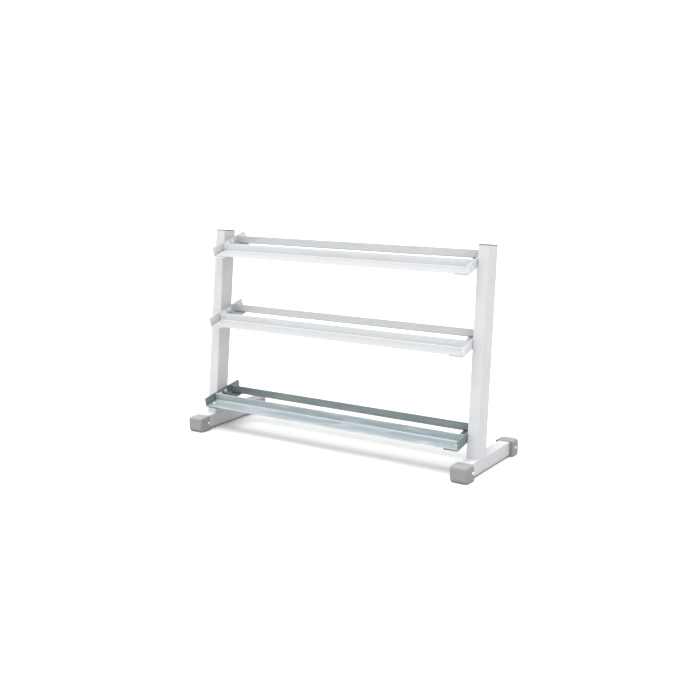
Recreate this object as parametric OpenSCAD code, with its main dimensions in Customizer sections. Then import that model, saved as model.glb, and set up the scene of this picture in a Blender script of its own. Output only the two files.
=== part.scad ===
// Three-tier dumbbell rack: two leaning end frames joined by pairs of steel angle rails.
// Frame: origin at the middle of the footprint on the floor, +X to the right, +Y to the back, +Z up.

/* [Overall] */
// Length over the two end frames, without the foot caps
rack_w = 1380; // [900:10:1800]
// Height of the front edge of the upright tubes' tops above the floor
rack_h = 895; // [740:5:1080]
// Depth over the foot caps, front to back
base_d = 474; // [390:2:600]

/* [Frame tubes] */
// Width of every frame tube along the rack's length
tube_w = 50; // [40:1:62]
// Height of the base tubes
base_tube_h = 57; // [45:1:70]
// Front-to-back size of the upright tubes, square to their length
upright_d = 76; // [62:1:92]
// Wall of every frame tube
tube_wall = 2.5; // [2:0.5:4]
// Outside corner radius of every frame tube
tube_r = 4; // [3:0.5:6]
// Angle by which the uprights lean to the back
lean = 6.3; // [0:0.1:8]
// Distance from the front of the foot caps to the uprights' front face
upright_setback = 117; // [95:1:145]
// Leg of the weld fillets at the foot of each upright
weld_leg = 3; // [2:0.5:4]

/* [Foot caps] */
// Length of a foot cap along the base tube
cap_len = 62; // [50:1:76]
// Wall of a foot cap at each side of the tube
cap_side = 13.5; // [11:0.5:17]
// Wall of a foot cap over the tube
cap_top = 2.5; // [2:0.5:4]
// Wall of a foot cap under the tube
cap_bottom = 6; // [5:0.5:8]
// Wall of a foot cap at the tube's end
cap_end = 12; // [10:0.5:14]
// Radius of a foot cap's upright outer edges
cap_edge_r = 13; // [10:0.5:16]
// Radius of a foot cap's lower outer edge
cap_toe_r = 18; // [15:0.5:21]
// Radius of a foot cap's upper outer edges
cap_soft_r = 9; // [7:0.5:11]
// Distance of the front caps' screws from the cap's mouth
front_screw_inset = 9; // [8:1:14]
// Distance of the rear caps' screws from the cap's mouth
rear_screw_inset = 27; // [20:1:34]

/* [Top plugs] */
// Thickness of the plug's flange on the tube's end
plug_flange = 3; // [2:0.5:4]
// Height of the plug's crown over its flange
plug_crown = 1.6; // [1:0.2:2.4]
// Depth of the plug's skirt in the tube
plug_depth = 16; // [12:1:20]

/* [Tiers] */
// Height of the bottom tier's bracket bolts above the floor
bottom_tier_z = 152; // [140:1:185]
// Distance of the top tier's bracket bolts below the uprights' tops
top_tier_drop = 59; // [49:1:72]
// Spacing of the top and middle tiers
tier_spacing = 314; // [260:2:380]
// Forward tilt of the top and middle tiers
upper_tilt = 15; // [8:0.5:18]
// Forward tilt of the bottom tier
bottom_tilt = 10; // [8:0.5:12]

/* [Shelf angles] */
// Thickness of the shelf angles and brackets
angle_t = 4; // [3:0.5:5]
// Inside bend radius of the shelf angles and brackets
bend_r = 3; // [2:0.5:4]
// Full width of a rail's seat
seat_w = 68; // [56:1:82]
// Full height of a rail's upright flange
rail_h = 38; // [32:1:46]
// Clear gap between the two rails of a tier
rail_gap = 98; // [80:1:118]
// Distance from a rail's free edge to the bracket's end
seat_inset = 2; // [1:0.5:4]
// Distance from a rail's end to the bracket's plate
rail_end_gap = 4; // [3:0.5:6]
// Width of the bracket flange that carries the rails
bracket_flange = 66; // [54:1:80]
// Corner radius of the bracket's plate
bracket_corner_r = 5; // [4:0.5:6]

/* [Fasteners] */
// Diameter of the bracket bolts
bracket_bolt_d = 10; // [8:1:12]
// Spacing of the two bolts of a bracket
bracket_bolt_pitch = 38; // [31:1:46]
// Height of the bracket bolts over the bracket's underside
bracket_bolt_v = 24; // [22:1:26]
// Diameter of the rail bolts
rail_bolt_d = 8; // [6:1:10]
// Distance of the rail bolts from the upright's inner face
rail_bolt_x = 22; // [20:1:26]
// Diameter of the foot cap screws
cap_screw_d = 6; // [5:0.5:7]
// Clearance of every bolt hole over its bolt
hole_clear = 1; // [0.5:0.5:2]

/* [Hidden] */
$fn = 48;
eps = 0.5;
thread_clear = 0.1;
big = 4 * rack_w;

// Heights and places that everything else follows
base_top_z = cap_bottom + base_tube_h;
inner_x = rack_w / 2 - tube_w;
upright_mid_x = rack_w / 2 - tube_w / 2;
upright_front_y = -base_d / 2 + upright_setback;
upright_len = (rack_h - base_top_z) / cos(lean);
upright_cut_d = upright_d / cos(lean);
base_tube_len = base_d - 2 * cap_end;
cap_w = tube_w + 2 * cap_side;
cap_h = cap_bottom + base_tube_h + cap_top;
cap_mouth_r = 3;
cap_screw_z = cap_bottom + base_tube_h / 2;
plug_fit = 0.15;
plug_wall = 2;
crown_step = 2;

// Shelf section, along the bracket (u) and square to it (v)
bracket_len = 2 * (seat_inset + seat_w) + rail_gap;
bracket_h = angle_t + rail_h;
rail_len = 2 * (inner_x - angle_t - rail_end_gap);
rail_bolt_u = seat_inset + (seat_w - angle_t) / 2;

// Fastener proportions, from the thread diameter
function head_d(d) = 1.8 * d;
function button_h(d) = 0.5 * d;
function hex_h(d) = 0.64 * d;
function hex_flats(d) = 1.6 * d;
function nut_h(d) = 0.8 * d;
function washer_d(d) = 2 * d;
function washer_t(d) = 0.2 * d;
function socket_flats(d) = 0.6 * d;
function hole_d(d) = d + hole_clear;
rail_bolt_len = 2 * angle_t + washer_t(rail_bolt_d) + nut_h(rail_bolt_d) + 3;
bracket_bolt_len = washer_t(bracket_bolt_d) + angle_t + tube_wall + nut_h(bracket_bolt_d) + 2;
cap_screw_len = cap_side + tube_wall + 4;
cap_screw_head = 3;

// Tiers, bottom to top: height of the bracket bolts on the uprights' centre line, and tilt
BOTTOM = 0;
MIDDLE = 1;
TOP = 2;
tier_z = [bottom_tier_z, rack_h - top_tier_drop - tier_spacing, rack_h - top_tier_drop];
tier_tilt = [bottom_tilt, upper_tilt, upper_tilt];
LEFT = -1;
RIGHT = 1;
FRONT = -1;
REAR = 1;

// Colours
frame_white = [0.93, 0.93, 0.95];
cap_grey = [0.68, 0.68, 0.68];
plug_grey = [0.25, 0.26, 0.27];
bottom_steel = [0.55, 0.62, 0.66];
upper_steel = [0.86, 0.87, 0.88];
zinc = [0.80, 0.82, 0.84];
shelf_colours = [bottom_steel, upper_steel, upper_steel];

// ---- Placing ----

// Puts a right-hand child on either end of the rack
module on_end(end) {
    mirror([end == LEFT ? 1 : 0, 0, 0]) children();
}

// Puts a child on both ends of the rack
module on_both_ends() {
    for (end = [LEFT, RIGHT]) on_end(end) children();
}

// Middle of the upright, front to back, at a height
function upright_mid_y(z) = upright_front_y + upright_cut_d / 2 + (z - base_top_z) * tan(lean);

// Frame of the right-hand upright: z along the tube, y from its front face
module upright_frame() {
    translate([0, upright_front_y, base_top_z]) rotate([-lean, 0, 0]) children();
}

// Frame of a tier: y along the brackets from their front ends, z from their undersides
module tier_frame(tier) {
    translate([0, upright_mid_y(tier_z[tier]), tier_z[tier]])
        rotate([tier_tilt[tier], 0, 0])
            translate([0, -bracket_len / 2, -bracket_bolt_v]) children();
}

// Places of a bracket's two bolts, on the right-hand upright's inner face, x pointing inwards
module at_bracket_bolts(tier) {
    for (side = [-1, 1])
        tier_frame(tier)
            translate([inner_x, bracket_len / 2 + side * bracket_bolt_pitch / 2, bracket_bolt_v])
                rotate([0, -90, 0]) children();
}

// Places of a tier's rail bolts on the right-hand bracket, from the bracket's underside
module at_rail_bolts(tier) {
    for (u = [rail_bolt_u, bracket_len - rail_bolt_u])
        tier_frame(tier) translate([inner_x - rail_bolt_x, u, 0]) children();
}

// ---- Shapes ----

// Rectangle with round corners, centred
module round_rect(w, h, r) {
    square([w - 2 * r, h], center = true);
    square([w, h - 2 * r], center = true);
    for (x = [-1, 1], y = [-1, 1])
        translate([x * (w / 2 - r), y * (h / 2 - r)]) circle(r);
}

// Rectangle from the origin, with its own radius at each corner:
// [low x low y, high x low y, high x high y, low x high y]
module corner_rect(w, h, r) {
    difference() {
        square([w, h]);
        for (i = [0 : 3]) {
            cx = (i == 1 || i == 2) ? w : 0;
            cy = (i == 2 || i == 3) ? h : 0;
            sx = cx > 0 ? -1 : 1;
            sy = cy > 0 ? -1 : 1;
            translate([cx, cy]) scale([sx, sy]) difference() {
                translate([-eps, -eps]) square(r[i] + eps);
                translate([r[i], r[i]]) circle(r[i]);
            }
        }
    }
}

// Section of a rectangular tube
module tube_section(w, h) {
    difference() {
        round_rect(w, h, tube_r);
        round_rect(w - 2 * tube_wall, h - 2 * tube_wall, tube_r - tube_wall + 1);
    }
}

// Section of a bent angle with its heel at the origin and legs along +x and +y
module angle_section(leg_x, leg_y) {
    heel_r = bend_r + angle_t;
    translate([heel_r, 0]) square([leg_x - heel_r, angle_t]);
    translate([0, heel_r]) square([angle_t, leg_y - heel_r]);
    intersection() {
        translate([heel_r, heel_r]) difference() {
            circle(heel_r);
            circle(bend_r);
        }
        square(heel_r);
    }
}

// Hexagonal prism across its flats
module hexagon(flats, h) {
    cylinder(d = flats / cos(30), h = h, $fn = 6);
}

// Outside shape of the right-hand base tube
module base_tube_solid() {
    translate([upright_mid_x, -base_tube_len / 2, cap_bottom + base_tube_h / 2])
        rotate([-90, 0, 0])
            linear_extrude(base_tube_len) round_rect(tube_w, base_tube_h, tube_r);
}

// Place of the right-hand upright's section
module upright_section_at(z) {
    upright_frame() translate([upright_mid_x, upright_d / 2, z]) children();
}

// ---- Frame ----

// Base tube, bored at both ends for the foot cap screws
module base_tube() {
    color(frame_white) difference() {
        translate([upright_mid_x, -base_tube_len / 2, cap_bottom + base_tube_h / 2])
            rotate([-90, 0, 0]) linear_extrude(base_tube_len) tube_section(tube_w, base_tube_h);
        at_cap_screws(FRONT) cylinder(d = cap_screw_d, h = cap_w);
        at_cap_screws(REAR) cylinder(d = cap_screw_d, h = cap_w);
    }
}

// Leaning upright tube, cut level at its foot and square at its top, bored for the brackets
module upright() {
    foot = upright_d * tan(lean) + eps;
    color(frame_white) difference() {
        upright_section_at(-foot)
            linear_extrude(upright_len + foot) tube_section(tube_w, upright_d);
        translate([-big / 2, -big / 2, base_top_z - big]) cube(big);
        for (tier = [BOTTOM : TOP])
            at_bracket_bolts(tier)
                translate([0, 0, -2 * tube_wall]) cylinder(d = hole_d(bracket_bolt_d), h = 4 * tube_wall);
    }
}

// Weld at the foot of the upright: a fillet in front and behind, and a fill of the base tube's
// rounded shoulder under each side wall
module weld_bead() {
    shoulder_x = tube_w / 2 - tube_r;
    rise = weld_leg * tan(lean);
    color(frame_white) {
        for (end = [FRONT, REAR]) {
            foot_y = upright_mid_y(base_top_z) + end * upright_cut_d / 2;
            translate([upright_mid_x - shoulder_x, 0, 0]) rotate([90, 0, 90])
                linear_extrude(2 * shoulder_x) polygon([
                    [foot_y, base_top_z],
                    [foot_y + end * weld_leg, base_top_z],
                    [foot_y + rise, base_top_z + weld_leg]
                ]);
        }
        for (side = [-1, 1])
            translate([upright_mid_x, upright_mid_y(base_top_z) + upright_cut_d / 2 - tube_r, base_top_z])
                rotate([90, 0, 0]) linear_extrude(upright_cut_d - 2 * tube_r) difference() {
                    translate([side * (tube_w - tube_wall) / 2, -tube_wall / 2])
                        square(tube_wall, center = true);
                    translate([side * shoulder_x, -tube_r]) circle(tube_r);
                }
    }
}

// Ribbed plastic plug in the top of the upright, with a low crown
module top_plug() {
    skirt_w = tube_w - 2 * tube_wall - 2 * plug_fit;
    skirt_d = upright_d - 2 * tube_wall - 2 * plug_fit;
    skirt_r = tube_r - tube_wall + 1;
    color(plug_grey) upright_section_at(upright_len) {
        linear_extrude(plug_flange) round_rect(tube_w, upright_d, tube_r);
        linear_extrude(plug_flange + plug_crown)
            round_rect(tube_w - 2 * crown_step, upright_d - 2 * crown_step, tube_r);
        translate([0, 0, -plug_depth]) linear_extrude(plug_depth + eps) difference() {
            round_rect(skirt_w, skirt_d, skirt_r);
            round_rect(skirt_w - 2 * plug_wall, skirt_d - 2 * plug_wall, skirt_r);
        }
    }
}

// ---- Foot caps ----

// Puts a child, drawn for the rear of the right-hand base tube, at either end of it
module at_tube_end(end) {
    mirror([0, end == FRONT ? 1 : 0, 0]) children();
}

// Places of a cap's two screws, with z pointing into the tube from the cap's side
module at_cap_screws(end) {
    inset = end == FRONT ? front_screw_inset : rear_screw_inset;
    y = base_d / 2 - cap_len + inset;
    at_tube_end(end) for (side = [-1, 1])
        translate([upright_mid_x + side * cap_w / 2, y, cap_screw_z])
            rotate([0, -side * 90, 0]) children();
}

// Moulded foot cap, open towards the middle of the base tube
module foot_cap(end) {
    color(cap_grey) difference() {
        at_tube_end(end) intersection() {
            translate([upright_mid_x - cap_w / 2, base_d / 2 - cap_len, 0])
                linear_extrude(cap_h)
                    corner_rect(cap_w, cap_len, [cap_mouth_r, cap_mouth_r, cap_edge_r, cap_edge_r]);
            translate([upright_mid_x - cap_w / 2 - eps, base_d / 2 - cap_len, 0])
                rotate([90, 0, 90]) linear_extrude(cap_w + 2 * eps)
                    corner_rect(cap_len, cap_h, [0, cap_toe_r, cap_soft_r, 0]);
            translate([upright_mid_x - cap_w / 2, base_d / 2 + eps, 0])
                rotate([90, 0, 0]) linear_extrude(cap_len + 2 * eps)
                    corner_rect(cap_w, cap_h, [cap_mouth_r, cap_mouth_r, cap_soft_r, cap_soft_r]);
        }
        base_tube_solid();
        at_cap_screws(end) {
            cylinder(d = cap_screw_d, h = cap_side);
            translate([0, 0, -eps]) cylinder(d = head_d(cap_screw_d), h = cap_screw_head / 2 + eps);
        }
    }
}

// Pan-head screws of the two foot caps on one base tube
module foot_screws() {
    color(zinc) for (end = [FRONT, REAR]) at_cap_screws(end) {
        difference() {
            translate([0, 0, -cap_screw_head / 2]) cylinder(d = head_d(cap_screw_d), h = cap_screw_head);
            translate([0, 0, -cap_screw_head / 2 - eps])
                hexagon(socket_flats(cap_screw_d), cap_screw_head / 2 + eps);
        }
        cylinder(d = cap_screw_d, h = cap_screw_len);
    }
}

// ---- Shelves ----

// Bent bracket: a plate on the upright and a flange that carries both rails
module bracket(tier) {
    color(shelf_colours[tier]) difference() {
        tier_frame(tier) intersection() {
            translate([inner_x, bracket_len, 0])
                rotate([90, 0, 0]) linear_extrude(bracket_len)
                    mirror([1, 0]) angle_section(bracket_flange, bracket_h);
            translate([inner_x - bracket_flange - eps, 0, 0])
                rotate([90, 0, 90]) linear_extrude(bracket_flange + 2 * eps)
                    corner_rect(bracket_len, bracket_h, [0, 0, bracket_corner_r, bracket_corner_r]);
        }
        at_bracket_bolts(tier)
            translate([0, 0, -eps]) cylinder(d = hole_d(bracket_bolt_d), h = angle_t + 2 * eps);
        at_rail_bolts(tier)
            translate([0, 0, -eps]) cylinder(d = hole_d(rail_bolt_d), h = angle_t + 2 * eps);
    }
}

// Bent rail: its seat carries one end of the dumbbells, and its flange stands next to the gap
module rail(tier, end) {
    color(shelf_colours[tier]) difference() {
        tier_frame(tier)
            translate([0, bracket_len / 2, angle_t]) mirror([0, end == FRONT ? 0 : 1, 0])
                translate([-rail_len / 2, -rail_gap / 2, 0])
                    rotate([90, 0, 90]) linear_extrude(rail_len)
                        mirror([1, 0]) angle_section(seat_w, rail_h);
        on_both_ends() at_rail_bolts(tier)
            translate([0, 0, angle_t - eps]) cylinder(d = hole_d(rail_bolt_d), h = angle_t + 2 * eps);
    }
}

// ---- Fasteners ----

// Hexagon-head bolts that hold a tier's two brackets
module bracket_bolts(tier) {
    seat = angle_t + washer_t(bracket_bolt_d);
    color(zinc) on_both_ends() at_bracket_bolts(tier) {
        translate([0, 0, seat]) hexagon(hex_flats(bracket_bolt_d), hex_h(bracket_bolt_d));
        translate([0, 0, seat - bracket_bolt_len])
            cylinder(d = bracket_bolt_d, h = bracket_bolt_len + eps);
    }
}

// Flat washers under the bracket bolts' heads
module bracket_washers(tier) {
    color(zinc) on_both_ends() at_bracket_bolts(tier)
        translate([0, 0, angle_t]) difference() {
            cylinder(d = washer_d(bracket_bolt_d), h = washer_t(bracket_bolt_d));
            translate([0, 0, -eps])
                cylinder(d = hole_d(bracket_bolt_d), h = washer_t(bracket_bolt_d) + 2 * eps);
        }
}

// Nuts welded inside the upright, behind every bracket hole
module weld_nuts() {
    color(zinc) for (tier = [BOTTOM : TOP]) at_bracket_bolts(tier)
        translate([0, 0, -tube_wall - nut_h(bracket_bolt_d)]) difference() {
            hexagon(hex_flats(bracket_bolt_d), nut_h(bracket_bolt_d));
            translate([0, 0, -eps])
                cylinder(d = bracket_bolt_d + thread_clear, h = nut_h(bracket_bolt_d) + 2 * eps);
        }
}

// Button-head bolts through the rails' seats and the bracket flanges
module rail_bolts(tier) {
    color(zinc) on_both_ends() at_rail_bolts(tier) {
        translate([0, 0, 2 * angle_t]) difference() {
            cylinder(d = head_d(rail_bolt_d), h = button_h(rail_bolt_d));
            translate([0, 0, button_h(rail_bolt_d) / 2])
                hexagon(socket_flats(rail_bolt_d), button_h(rail_bolt_d));
        }
        translate([0, 0, 2 * angle_t - rail_bolt_len])
            cylinder(d = rail_bolt_d, h = rail_bolt_len + button_h(rail_bolt_d) / 4);
    }
}

// Flat washers under the bracket flanges
module rail_washers(tier) {
    color(zinc) on_both_ends() at_rail_bolts(tier)
        translate([0, 0, -washer_t(rail_bolt_d)]) difference() {
            cylinder(d = washer_d(rail_bolt_d), h = washer_t(rail_bolt_d));
            translate([0, 0, -eps])
                cylinder(d = hole_d(rail_bolt_d), h = washer_t(rail_bolt_d) + 2 * eps);
        }
}

// Hexagon nuts on the rail bolts
module rail_nuts(tier) {
    color(zinc) on_both_ends() at_rail_bolts(tier)
        translate([0, 0, -washer_t(rail_bolt_d) - nut_h(rail_bolt_d)]) difference() {
            hexagon(hex_flats(rail_bolt_d), nut_h(rail_bolt_d));
            translate([0, 0, -eps])
                cylinder(d = rail_bolt_d + thread_clear, h = nut_h(rail_bolt_d) + 2 * eps);
        }
}

// ---- Nodes ----

on_end(LEFT) base_tube();  // left_base_tube
on_end(RIGHT) base_tube();  // right_base_tube
on_end(LEFT) upright();  // left_upright
on_end(RIGHT) upright();  // right_upright
on_end(LEFT) weld_bead();  // left_weld_bead
on_end(RIGHT) weld_bead();  // right_weld_bead
on_end(LEFT) top_plug();  // left_top_plug
on_end(RIGHT) top_plug();  // right_top_plug
on_end(LEFT) foot_cap(FRONT);  // front_left_foot_cap
on_end(RIGHT) foot_cap(FRONT);  // front_right_foot_cap
on_end(LEFT) foot_cap(REAR);  // rear_left_foot_cap
on_end(RIGHT) foot_cap(REAR);  // rear_right_foot_cap
on_end(LEFT) foot_screws();  // left_foot_screws
on_end(RIGHT) foot_screws();  // right_foot_screws
on_end(LEFT) bracket(BOTTOM);  // bottom_left_bracket
on_end(RIGHT) bracket(BOTTOM);  // bottom_right_bracket
on_end(LEFT) bracket(MIDDLE);  // middle_left_bracket
on_end(RIGHT) bracket(MIDDLE);  // middle_right_bracket
on_end(LEFT) bracket(TOP);  // top_left_bracket
on_end(RIGHT) bracket(TOP);  // top_right_bracket
rail(BOTTOM, FRONT);  // bottom_front_rail
rail(BOTTOM, REAR);  // bottom_rear_rail
rail(MIDDLE, FRONT);  // middle_front_rail
rail(MIDDLE, REAR);  // middle_rear_rail
rail(TOP, FRONT);  // top_front_rail
rail(TOP, REAR);  // top_rear_rail
bracket_bolts(BOTTOM);  // bottom_bracket_bolts
bracket_bolts(MIDDLE);  // middle_bracket_bolts
bracket_bolts(TOP);  // top_bracket_bolts
bracket_washers(BOTTOM);  // bottom_bracket_washers
bracket_washers(MIDDLE);  // middle_bracket_washers
bracket_washers(TOP);  // top_bracket_washers
on_end(LEFT) weld_nuts();  // left_weld_nuts
on_end(RIGHT) weld_nuts();  // right_weld_nuts
rail_bolts(BOTTOM);  // bottom_rail_bolts
rail_bolts(MIDDLE);  // middle_rail_bolts
rail_bolts(TOP);  // top_rail_bolts
rail_washers(BOTTOM);  // bottom_rail_washers
rail_washers(MIDDLE);  // middle_rail_washers
rail_washers(TOP);  // top_rail_washers
rail_nuts(BOTTOM);  // bottom_rail_nuts
rail_nuts(MIDDLE);  // middle_rail_nuts
rail_nuts(TOP);  // top_rail_nuts
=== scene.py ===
"""Three-tier dumbbell rack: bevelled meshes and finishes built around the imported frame.

The rack stands on +Z with its rails along X. Lengths are metres, and MM turns millimetres into
them. Each sub-assembly is a class that finds its place in the frame and keeps its own sizes.
"""

import logging
import math
from dataclasses import dataclass, field
from enum import Enum
from random import Random

import bmesh
import bpy
from mathutils import Matrix, Vector


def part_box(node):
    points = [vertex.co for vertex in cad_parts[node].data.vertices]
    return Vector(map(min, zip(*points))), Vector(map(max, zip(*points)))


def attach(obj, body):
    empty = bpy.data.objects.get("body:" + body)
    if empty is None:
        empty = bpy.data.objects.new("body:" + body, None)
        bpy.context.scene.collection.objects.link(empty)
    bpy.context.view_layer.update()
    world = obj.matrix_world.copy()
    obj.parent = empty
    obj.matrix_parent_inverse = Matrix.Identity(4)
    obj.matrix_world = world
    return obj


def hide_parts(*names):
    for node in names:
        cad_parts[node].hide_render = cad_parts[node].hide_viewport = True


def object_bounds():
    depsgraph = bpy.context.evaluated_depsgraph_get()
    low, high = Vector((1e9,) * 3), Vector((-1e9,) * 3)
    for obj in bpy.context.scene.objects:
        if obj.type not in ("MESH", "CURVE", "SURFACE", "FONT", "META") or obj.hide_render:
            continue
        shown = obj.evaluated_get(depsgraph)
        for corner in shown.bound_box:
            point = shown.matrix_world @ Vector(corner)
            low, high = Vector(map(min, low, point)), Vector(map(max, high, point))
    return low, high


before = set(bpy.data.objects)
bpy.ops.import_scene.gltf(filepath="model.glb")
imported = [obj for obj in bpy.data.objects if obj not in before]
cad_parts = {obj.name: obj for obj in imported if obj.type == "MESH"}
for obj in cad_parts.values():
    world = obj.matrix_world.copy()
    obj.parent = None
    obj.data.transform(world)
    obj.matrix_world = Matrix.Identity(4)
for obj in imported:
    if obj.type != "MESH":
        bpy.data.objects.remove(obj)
cad_low, cad_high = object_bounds()

log = logging.getLogger("rack")

MM = 0.001
OVERCUT = 5 * MM
ROUND_STEPS = 8
TURN_POINTS = 48
SHARP_ANGLE = math.radians(35)

Outline = list[tuple[float, float]]
Ring = list[Vector]
Colour = tuple[float, float, float]


class Side(Enum):
    """An end of the rack, with its sign along X."""

    LEFT = -1
    RIGHT = 1


class End(Enum):
    """An end of a base tube or a bracket, with its sign along Y."""

    FRONT = -1
    REAR = 1


class Tier(Enum):
    """A shelf, by its node names' first word."""

    BOTTOM = "bottom"
    MIDDLE = "middle"
    TOP = "top"


class Slot(Enum):
    """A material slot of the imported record."""

    FRAME = "frame_powder_coat"
    UPPER_SHELF = "upper_shelf_steel"
    BOTTOM_SHELF = "bottom_shelf_steel"
    FASTENER = "zinc_fastener"
    CAP = "foot_cap_rubber"
    PLUG = "top_plug_plastic"


# ---- Outlines and rings ----


def arc(cx: float, cy: float, radius: float, start: float, end: float,
        steps: int = ROUND_STEPS) -> Outline:
    """Points on an arc.

    Args:
        cx, cy: The centre.
        radius: The radius.
        start, end: The first and last angle, in degrees.
        steps: How many chords the arc has.

    Returns:
        The steps + 1 points from start to end.
    """
    angles = [math.radians(start + (end - start) * i / steps) for i in range(steps + 1)]
    return [(cx + radius * math.cos(a), cy + radius * math.sin(a)) for a in angles]


def round_box(low_x: float, low_y: float, high_x: float, high_y: float,
              low_r: float, high_r: float) -> Outline:
    """A rectangle with round corners.

    Args:
        low_x, low_y, high_x, high_y: Its sides.
        low_r: The radius of the two corners on the low y side.
        high_r: The radius of the two corners on the high y side.

    Returns:
        Its points, counter-clockwise, the same number for any size.
    """
    return (arc(high_x - low_r, low_y + low_r, low_r, -90, 0)
            + arc(high_x - high_r, high_y - high_r, high_r, 0, 90)
            + arc(low_x + high_r, high_y - high_r, high_r, 90, 180)
            + arc(low_x + low_r, low_y + low_r, low_r, 180, 270))


def tube_outline(width: float, depth: float, radius: float, inset: float = 0.0) -> Outline:
    """A centred tube section.

    Args:
        width, depth: The full section.
        radius: Its corner radius.
        inset: How far inside the section the outline lies.

    Returns:
        Its points, counter-clockwise.
    """
    x, y = width / 2 - inset, depth / 2 - inset
    r = max(radius - inset, 0.3 * MM)
    return round_box(-x, -y, x, y, r, r)


def angle_outline(leg_x: float, leg_y: float, thick: float, bend: float, strip: float) -> Outline:
    """A bent angle's section, with its heel at the origin and its legs along +x and +y.

    Args:
        leg_x, leg_y: The legs' full widths.
        thick: The sheet's thickness.
        bend: The inside radius of the bend.
        strip: How far past the bend the painted bend highlight reaches; the outline has a point there.

    Returns:
        Its points, counter-clockwise.
    """
    heel = bend + thick
    return (arc(heel, heel, heel, 180, 270) + [(leg_x, 0.0), (leg_x, thick), (heel + strip, thick)]
            + arc(heel, heel, bend, 270, 180) + [(thick, heel + strip), (thick, leg_y), (0.0, leg_y)])


def turned(radius: float, z: float) -> Ring:
    """A level circle about the z axis."""
    return [Vector((radius * math.cos(a), radius * math.sin(a), z)) for a in turn_angles()]


def turn_angles() -> list[float]:
    """The angles of a turned ring's points."""
    return [math.tau * i / TURN_POINTS for i in range(TURN_POINTS)]


def hexagon(flats: float, z: float, chamfer: float = 0.0) -> Ring:
    """A hexagon about the z axis, with its corners cut by a cone.

    Args:
        flats: The size across its flats.
        z: Its height at the flats.
        chamfer: The cone's slope, negative to cut the lower side.

    Returns:
        Its points, as many as a turned ring has.
    """
    ring = []
    for a in turn_angles():
        radius = flats / 2 / math.cos(a % math.radians(60) - math.radians(30))
        drop = chamfer * (radius - flats / 2)
        ring.append(Vector((radius * math.cos(a), radius * math.sin(a), z - drop)))
    return ring


def thread(diameter: float, pitch: float, top: float, bottom: float) -> list[Ring]:
    """A screw thread about the z axis, fading out at both ends.

    Args:
        diameter: The outside diameter.
        pitch: The rise of one turn.
        top, bottom: The heights between which it runs, downwards.

    Returns:
        Its rings, from the top.
    """
    depth = 0.54 * pitch
    count = max(2, math.ceil((top - bottom) / (pitch / 8)))
    rings = []
    for i in range(count + 1):
        z = top + (bottom - top) * i / count
        fade = min(1.0, (top - z) / pitch + 0.1, (z - bottom) / pitch + 0.35)
        ring = []
        for a in turn_angles():
            wave = abs(((z / pitch - a / math.tau) % 1.0) * 2 - 1)
            radius = diameter / 2 - depth * fade * wave - (1 - min(1.0, (z - bottom) / pitch + 0.4)) * depth
            ring.append(Vector((radius * math.cos(a), radius * math.sin(a), z)))
        rings.append(ring)
    return rings


# ---- Meshes ----


@dataclass
class Solid:
    """Closed shells under construction, made of rings of points."""

    mesh: bmesh.types.BMesh = field(default_factory=bmesh.new)

    def shell(self, rings: list[Ring], place: Matrix = Matrix(), closed: bool = False) -> None:
        """Adds one shell.

        Args:
            rings: Rings of the same number of points, in order.
            place: Where the shell goes.
            closed: Whether the last ring joins the first, instead of both being capped.
        """
        rows = [[self.mesh.verts.new(place @ p) for p in ring] for ring in rings]
        size = len(rows[0])
        pairs = list(zip(rows, rows[1:])) + ([(rows[-1], rows[0])] if closed else [])
        for a, b in pairs:
            for i in range(size):
                j = (i + 1) % size
                self.mesh.faces.new((a[i], a[j], b[j], b[i]))
        if not closed:
            self.mesh.faces.new(rows[0])
            self.mesh.faces.new(rows[-1])

    def bar(self, outline: Outline, start: float, end: float, place: Matrix = Matrix()) -> None:
        """Adds a straight bar of one section along z.

        Args:
            outline: The section.
            start, end: The bar's ends.
            place: Where the bar goes.
        """
        self.shell([[Vector((x, y, z)) for x, y in outline] for z in (start, end)], place)

    def rod(self, diameter: float, start: float, end: float, place: Matrix) -> None:
        """Adds a round bar along z, such as a drill."""
        self.shell([turned(diameter / 2, start), turned(diameter / 2, end)], place)

    def body(self, name: str) -> bpy.types.Object:
        """Makes the shells an object.

        Args:
            name: The object's name.

        Returns:
            The object, in the scene, with its faces turned outwards.
        """
        bmesh.ops.recalc_face_normals(self.mesh, faces=self.mesh.faces)
        data = bpy.data.meshes.new(name)
        self.mesh.to_mesh(data)
        self.mesh.free()
        made = bpy.data.objects.new(name, data)
        bpy.context.scene.collection.objects.link(made)
        return made


def settle(piece: bpy.types.Object) -> None:
    """Applies a piece's modifiers to its mesh.

    Args:
        piece: The piece.
    """
    bpy.context.view_layer.update()
    graph = bpy.context.evaluated_depsgraph_get()
    made = bpy.data.meshes.new_from_object(
        piece.evaluated_get(graph), preserve_all_data_layers=True, depsgraph=graph)
    made.name = piece.name
    piece.modifiers.clear()
    piece.data = made


def cut(piece: bpy.types.Object, tool: Solid) -> None:
    """Cuts a solid out of a piece.

    Args:
        piece: What is cut.
        tool: The shells that are taken away.
    """
    cutter = tool.body("cutter")
    boolean = piece.modifiers.new("cut", "BOOLEAN")
    boolean.operation = "DIFFERENCE"
    boolean.solver = "EXACT"
    boolean.object = cutter
    settle(piece)
    bpy.data.objects.remove(cutter)


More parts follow.
